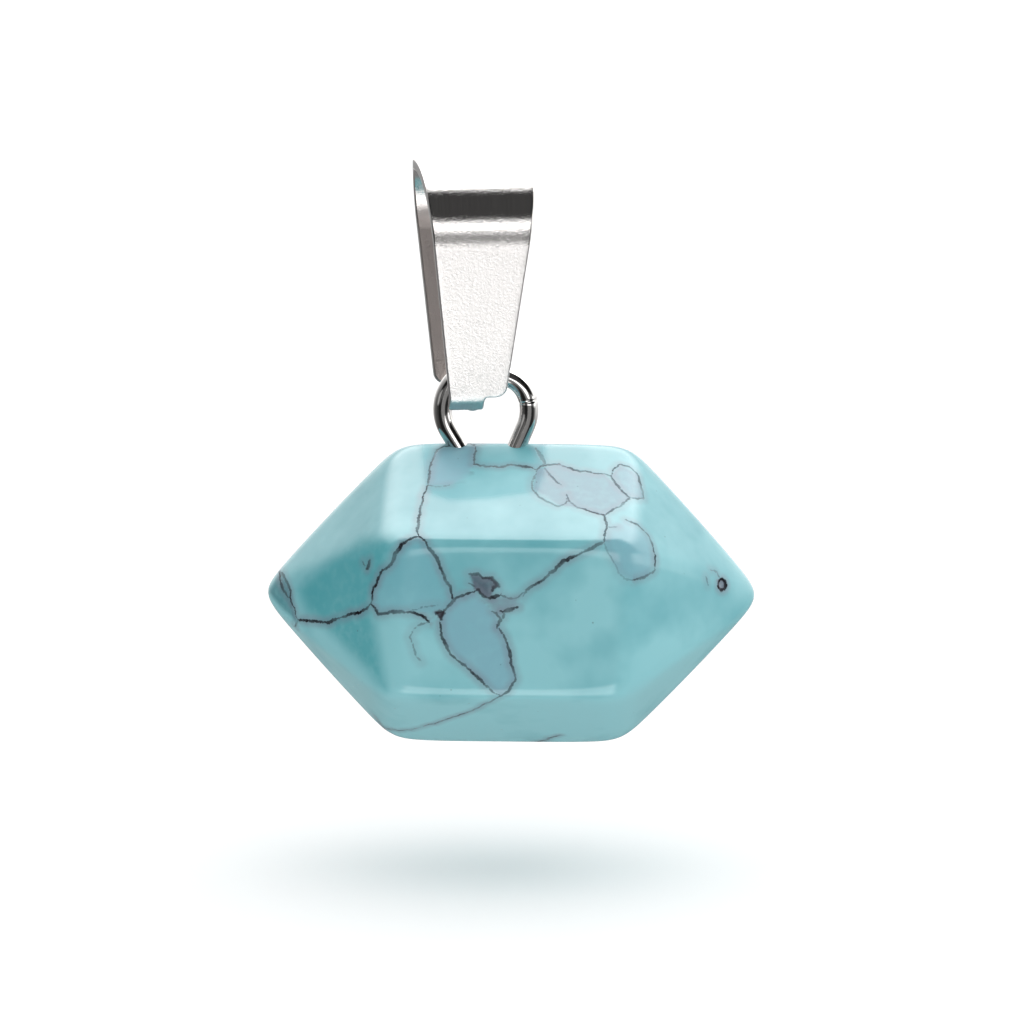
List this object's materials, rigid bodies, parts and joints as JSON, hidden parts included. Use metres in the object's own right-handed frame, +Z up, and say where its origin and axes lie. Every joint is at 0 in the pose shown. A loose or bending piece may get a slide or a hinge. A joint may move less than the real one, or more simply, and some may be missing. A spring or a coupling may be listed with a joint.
{
  "type": "stone pendant with a strip bail",
  "caption": "Pendant with a level, double-pointed hexagonal stone that swings on a wire eye loop below a folded strip bail.",
  "frame": {"origin": "top of the inside of the bail's fold, midway along its width, where a chain lies", "axes": "+X to the right along the chain's way through the bail, -Y to the front, +Z up"},
  "size_m": [0.0225, 0.0142, 0.0275],
  "materials": {
    "bail_steel": "polished over the fold, satin on the leaves",
    "loop_steel": "polished",
    "dyed_stone": "polished stone, turquoise blue with dark veins"
  },
  "bodies": {
    "bail": {"bail": "bail_steel"},
    "drop": {"eye_loop": "loop_steel", "stone": "dyed_stone"}
  },
  "joints": [
    {"name": "drop_swing", "type": "hinge", "parent": "bail", "child": "drop", "pos_m": [-0.00016, 0, -0.01062], "axis": [0, 1, 0], "range_deg": [-75, 75]}
  ]
}
